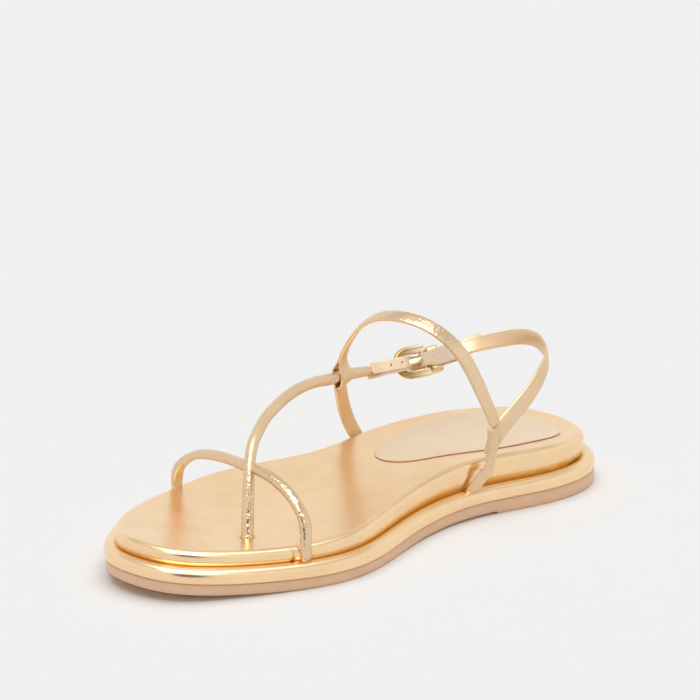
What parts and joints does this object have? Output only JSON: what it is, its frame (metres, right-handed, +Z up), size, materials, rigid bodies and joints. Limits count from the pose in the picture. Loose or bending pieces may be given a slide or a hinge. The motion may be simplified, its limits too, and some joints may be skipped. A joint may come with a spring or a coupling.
{
  "type": "strappy flat sandal",
  "caption": "Flat gold leather sandal with a padded sole and rolled edge, a toe strap, a long strap to the ankle, an instep strap and a heel strap with a small horseshoe buckle.",
  "frame": {"origin": "on the floor, under the middle of the sole's length and width", "axes": "+Z up, toes along -Y and heel along +Y, big toe's side towards +X"},
  "size_m": [0.1082, 0.26, 0.0925],
  "materials": {
    "rubber": "matt tan",
    "foil_leather": "gold foil, satin",
    "strap_leather": "gold foil, crinkled",
    "pad_leather": "smooth pale gold",
    "tab_leather": "satin gold",
    "elastic": "ribbed",
    "brass": "polished"
  },
  "bodies": {
    "root": {"outsole": "rubber", "midsole_roll": "foil_leather", "footbed": "foil_leather", "heel_pad": "pad_leather", "forefoot_straps": "strap_leather", "ankle_straps": "strap_leather", "buckle_billet": "tab_leather", "elastic_gore": "elastic", "buckle_frame": "brass", "buckle_prong": "brass", "keeper_loop": "tab_leather"}
  },
  "joints": []
}
